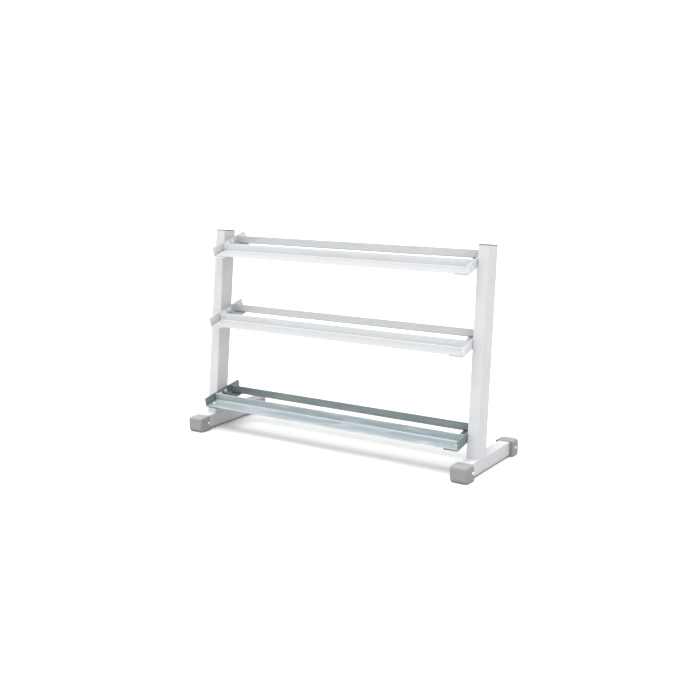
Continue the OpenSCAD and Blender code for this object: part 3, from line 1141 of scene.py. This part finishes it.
    @staticmethod
    def mould_marks(tool: Solid, face: Matrix) -> None:
        """Adds the line round a cap's end panel and the dimples of its ejector pins to a cutter.

        Args:
            tool: The cutter.
            face: The panel's middle, with y out of the cap.
        """
        width, height, corner, line, deep = 44 * MM, 30 * MM, 5 * MM, 1.2 * MM, 0.5 * MM
        outward = face @ Matrix.Rotation(-math.pi / 2, 4, "X")
        rings = [[Vector((x, y, z)) for x, y in tube_outline(width, height, corner, inset)]
                 for inset, z in ((0.0, -deep), (0.0, OVERCUT), (line, OVERCUT), (line, -deep))]
        tool.shell(rings, outward, closed=True)
        for x in (9 * MM, 15 * MM):
            tool.rod(2.6 * MM, -0.6 * MM, OVERCUT, outward @ Matrix.Translation((x, 9 * MM, 0)))

    @staticmethod
    def pulled(distance: float, radius: float) -> float:
        """How far an edge's rounding pulls in at a distance from the edge."""
        return radius - math.sqrt(radius ** 2 - (radius - distance) ** 2) if 0 <= distance < radius else 0.0

    def cap_screws(self) -> None:
        """The screws of both caps."""
        places = [place for end in End for place in self.cap_screw_places(end)]
        rings = CAP_SCREW.pan_screw(self.cap_screw_length - self.cap_screw_head / 2, self.cap_screw_head)
        piece = scatter(f"cap_screws_{self.word}", rings, places, closed=False)
        self.shop.deliver(piece, Slot.FASTENER, f"{self.word}_foot_screws")

    def weld_nuts(self, tiers: list["Shelf"]) -> None:
        """The nuts welded behind the bracket holes, inside the upright.

        Args:
            tiers: The shelves that it carries.
        """
        back = Matrix.Translation((0, 0, -self.wall - BRACKET_SCREW.nut_height))
        places = [place @ back for shelf in tiers for place in shelf.bracket_bolt_places(self.side)]
        piece = scatter(f"weld_nuts_{self.word}", BRACKET_SCREW.nut(), places, closed=True)
        self.shop.deliver(piece, Slot.FASTENER, f"{self.word}_weld_nuts")


# ---- Shelves ----


@dataclass
class Shelf:
    """One tier: two rails on two bent brackets, bolted to the uprights."""

    tier: Tier
    tilt: float
    slot: Slot
    shop: Paintshop
    thick: float = 4 * MM
    bend: float = 3 * MM
    seat: float = 68 * MM
    gap: float = 98 * MM
    web: float = 38 * MM
    flange: float = 66 * MM
    bolt_height: float = 24 * MM
    bolt_pitch: float = 38 * MM
    upright_wall: float = 2.5 * MM
    past_nut: float = 2 * MM
    corner: float = 5 * MM
    edge: float = 1.2 * MM
    strip: float = 5 * MM
    # Painted shade that darkens each bracket and the rear rail as a whole.
    bracket_tone: float = 0.0
    rear_tone: float = 0.35
    # Rounded-edge colour: painted shade on the upper tiers, a painted highlight on the bottom tier.
    bracket_wear: float = 0.25
    rail_wear: float = 0.7

    def __post_init__(self) -> None:
        """Finds the tier's place: y from the brackets' middle, z from their undersides."""
        low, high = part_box(f"{self.tier.value}_bracket_washers")
        self.frame = (Matrix.Translation((0, (low.y + high.y) / 2, (low.z + high.z) / 2))
                      @ Matrix.Rotation(self.tilt, 4, "X") @ Matrix.Translation((0, 0, -self.bolt_height)))
        self.inner_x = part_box(f"{self.tier.value}_right_bracket")[1].x
        self.rail_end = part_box(f"{self.tier.value}_front_rail")[1].x
        self.rail_bolt_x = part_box(f"{self.tier.value}_rail_bolts")[1].x - RAIL_SCREW.head_radius
        self.half_length = self.gap / 2 + self.seat + 2 * MM

    def build(self) -> None:
        """Builds the tier's pieces."""
        for side in Side:
            self.bracket(side)
        for end in End:
            self.rail(end)
        self.bracket_bolts()
        self.rail_bolts()

    def bracket_bolt_places(self, side: Side) -> list[Matrix]:
        """The two bolts of a bracket, on the upright's inner face, z pointing inwards."""
        return [self.frame @ Matrix.Translation((side.value * self.inner_x, way * self.bolt_pitch / 2,
                                                 self.bolt_height)) @ facing(side) for way in (-1, 1)]

    def rail_bolt_places(self, side: Side, height: float) -> list[Matrix]:
        """The two rail bolts of a bracket.

        Args:
            side: Which bracket.
            height: How far over its underside they are taken.

        Returns:
            Their places, z pointing up out of the shelf.
        """
        out = self.gap / 2 + (self.seat + self.thick) / 2
        return [self.frame @ Matrix.Translation((side.value * self.rail_bolt_x, way * out, height))
                for way in (-1, 1)]

    def bracket(self, side: Side) -> None:
        """A bent bracket: its plate on the upright, its flange under the rails.

        Args:
            side: Which end of the shelf it carries.
        """
        height = self.thick + self.web
        outline = angle_outline(self.flange, height, self.thick, self.bend, self.strip)
        stand = self.frame @ Matrix.Translation((side.value * self.inner_x, 0, 0)) @ Matrix.Scale(
            -side.value, 4, (1, 0, 0)) @ Matrix.Rotation(math.pi / 2, 4, "X")
        solid, tool = Solid(), Solid()
        solid.bar(outline, -self.half_length, self.half_length, stand)
        for way in (-1, 1):
            tool.bar(self.corner_cut(), -OVERCUT, self.thick + OVERCUT,
                     self.frame @ Matrix.Translation((side.value * self.inner_x, 0, height))
                     @ Matrix.Scale(-side.value, 4, (1, 0, 0)) @ Matrix.Scale(way, 4, (0, 1, 0))
                     @ Matrix.Rotation(math.pi / 2, 4, "Y"))
        for place in self.bracket_bolt_places(side):
            tool.rod(BRACKET_SCREW.clearance, -OVERCUT, self.thick + OVERCUT, place)
        for place in self.rail_bolt_places(side, 0.0):
            tool.rod(RAIL_SCREW.clearance, -OVERCUT, self.thick + 2 * MM, place)
        piece = solid.body(f"bracket_{self.tier.value}_{side.name.lower()}")
        cut(piece, tool)
        soften(piece, self.edge, self.bracket_wear)
        paint_bend_highlight(piece, stand, self.thick, self.bend, self.strip)
        self.shop.deliver(piece, self.slot, f"{self.tier.value}_{side.name.lower()}_bracket",
                          tone=self.bracket_tone)

    def corner_cut(self) -> Outline:
        """What rounds the plate's upper corner.

        Returns:
            Its points: x is down from the plate's top edge, and y is along it to its end.
        """
        r, end = self.corner, self.half_length
        outside = [(-OVERCUT, end - r), (-OVERCUT, end + OVERCUT), (r, end + OVERCUT)]
        return arc(r, end - r, r, 90, 180) + outside

    def rail(self, end: End) -> None:
        """A bent rail: its seat outwards, its web upright beside the gap.

        Args:
            end: Whether it is the front or the rear rail.
        """
        outline = angle_outline(self.seat, self.web, self.thick, self.bend, self.strip)
        stand = (self.frame @ Matrix.Translation((0, end.value * self.gap / 2, self.thick))
                 @ Matrix.Scale(end.value, 4, (0, 1, 0)) @ Matrix.Rotation(math.pi / 2, 4, "Z")
                 @ Matrix.Rotation(math.pi / 2, 4, "X"))
        solid, tool = Solid(), Solid()
        solid.bar(outline, -self.rail_end, self.rail_end, stand)
        for side in Side:
            for place in self.rail_bolt_places(side, self.thick):
                tool.rod(RAIL_SCREW.clearance, -2 * MM, self.thick + OVERCUT, place)
        piece = solid.body(f"rail_{self.tier.value}_{end.name.lower()}")
        cut(piece, tool)
        soften(piece, self.edge, self.rail_wear)
        paint_bend_highlight(piece, stand, self.thick, self.bend, self.strip)
        self.shop.deliver(piece, self.slot, f"{self.tier.value}_{end.name.lower()}_rail",
                          tone=self.rear_tone if end is End.REAR else 0.0)

    def bracket_bolts(self) -> None:
        """The hexagon bolts and washers on both brackets."""
        seat = self.thick + BRACKET_SCREW.washer_thick
        places = [place for side in Side for place in self.bracket_bolt_places(side)]
        lift = Matrix.Translation((0, 0, self.thick))
        washers = scatter(f"bracket_washers_{self.tier.value}", BRACKET_SCREW.washer(),
                          [place @ lift for place in places], closed=True)
        self.shop.deliver(washers, Slot.FASTENER, f"{self.tier.value}_bracket_washers")
        lift = Matrix.Translation((0, 0, seat))
        length = seat + self.upright_wall + BRACKET_SCREW.nut_height + self.past_nut
        bolts = scatter(f"bracket_bolts_{self.tier.value}", BRACKET_SCREW.hex_bolt(length),
                        [place @ lift for place in places], closed=False)
        self.shop.deliver(bolts, Slot.FASTENER, f"{self.tier.value}_bracket_bolts")

    def rail_bolts(self) -> None:
        """The button-head bolts, with their washers and nuts under the brackets."""
        washer, nut = RAIL_SCREW.washer_thick, RAIL_SCREW.nut_height
        length = 2 * self.thick + washer + nut + 3 * MM
        parts = (("bolts", RAIL_SCREW.button_bolt(length), 2 * self.thick, False),
                 ("washers", RAIL_SCREW.washer(), -washer, True),
                 ("nuts", RAIL_SCREW.nut(), -washer - nut, True))
        for word, rings, height, closed in parts:
            places = [place for side in Side for place in self.rail_bolt_places(side, height)]
            piece = scatter(f"rail_{word}_{self.tier.value}", rings, places, closed)
            # Painted shade darkens the rail bolts, washers and nuts.
            self.shop.deliver(piece, Slot.FASTENER, f"{self.tier.value}_rail_{word}", tone=0.6)


# ---- Studio ----


@dataclass
class Studio:
    """A pale floor, soft lights and the camera."""

    floor_size: float = 60.0
    eye: Colour = (2.4175, -3.5976, 1.3150)
    turn_deg: float = 32.89
    tilt_deg: float = 7.49
    roll_deg: float = -0.41
    lens: float = 52.87
    shift: tuple[float, float] = (-0.0189, -0.1121)

    def build(self) -> None:
        """Sets the stage."""
        self.floor()
        self.sky()
        self.sun("key", (-0.06, -0.30, 0.93), 3.25, 45.0)
        self.camera()

    def floor(self) -> None:
        """A large pale floor at the foot caps' soles."""
        solid = Solid()
        half = self.floor_size / 2
        thick = 50 * MM
        solid.bar([(-half, -half), (half, -half), (half, half), (-half, half)], -thick, 0.0,
                  Matrix.Translation((0, 0, cad_low.z)))
        floor = solid.body("floor")
        s = Shading("pale_floor")
        colour = s.blend(s.noise(600 * MM), (0.67, 0.67, 0.67), (0.69, 0.69, 0.69))
        floor.data.materials.append(s.finish(colour, s.ranged(s.noise(900 * MM), 0.8, 0.9),
                                             s.bump(s.noise(3 * MM), 0.01 * MM)))

    def sky(self) -> None:
        """An even, soft white all round."""
        world = bpy.data.worlds.new("studio")
        world.use_nodes = True
        bpy.context.scene.world = world
        background = world.node_tree.nodes["Background"]
        background.inputs["Color"].default_value = (1.0, 1.0, 1.0, 1.0)
        background.inputs["Strength"].default_value = 1.53

    def sun(self, name: str, way: Colour, strength: float, spread_deg: float) -> None:
        """Adds a soft light from far away.

        Args:
            name: Its name.
            way: The direction that it comes from.
            strength: Its strength in watts a square metre.
            spread_deg: How wide it looks from the rack.
        """
        data = bpy.data.lights.new(name, "SUN")
        data.energy, data.angle = strength, math.radians(spread_deg)
        sun = bpy.data.objects.new(name, data)
        sun.rotation_mode = "QUATERNION"
        sun.rotation_quaternion = (-Vector(way)).to_track_quat("-Z", "Y")
        bpy.context.scene.collection.objects.link(sun)

    def camera(self) -> None:
        """Places the camera, in front of the rack's right end and a little above it."""
        turn, tilt, roll = (math.radians(a) for a in (self.turn_deg, self.tilt_deg, self.roll_deg))
        ahead = Vector((-math.sin(turn) * math.cos(tilt), math.cos(turn) * math.cos(tilt), -math.sin(tilt)))
        right = Vector((math.cos(turn), math.sin(turn), 0))
        up = right.cross(ahead)
        across = right * math.cos(roll) + up * math.sin(roll)
        upward = up * math.cos(roll) - right * math.sin(roll)
        data = bpy.data.cameras.new("camera")
        data.lens = self.lens
        data.shift_x, data.shift_y = self.shift
        camera = bpy.data.objects.new("camera", data)
        pose = Matrix((across, upward, -ahead)).transposed().to_4x4()
        pose.translation = Vector(self.eye)
        camera.matrix_world = pose
        bpy.context.scene.collection.objects.link(camera)
        bpy.context.scene.camera = camera


def main() -> None:
    """Builds the rack and its stage."""
    logging.basicConfig(level=logging.INFO, format="%(name)s: %(message)s")
    bpy.context.scene.view_settings.view_transform = "Standard"
    shop = Paintshop()
    upper, lower = math.radians(15), math.radians(10)
    shelves = [Shelf(Tier.BOTTOM, lower, Slot.BOTTOM_SHELF, shop, bracket_tone=0.75, rear_tone=0.7,
                     bracket_wear=0.85, rail_wear=0.25),
               Shelf(Tier.MIDDLE, upper, Slot.UPPER_SHELF, shop),
               Shelf(Tier.TOP, upper, Slot.UPPER_SHELF, shop)]
    for shelf in shelves:
        shelf.build()
    for side in Side:
        EndFrame(side, shop).build(shelves)
    Studio().build()


if __name__ == "__main__":
    main()
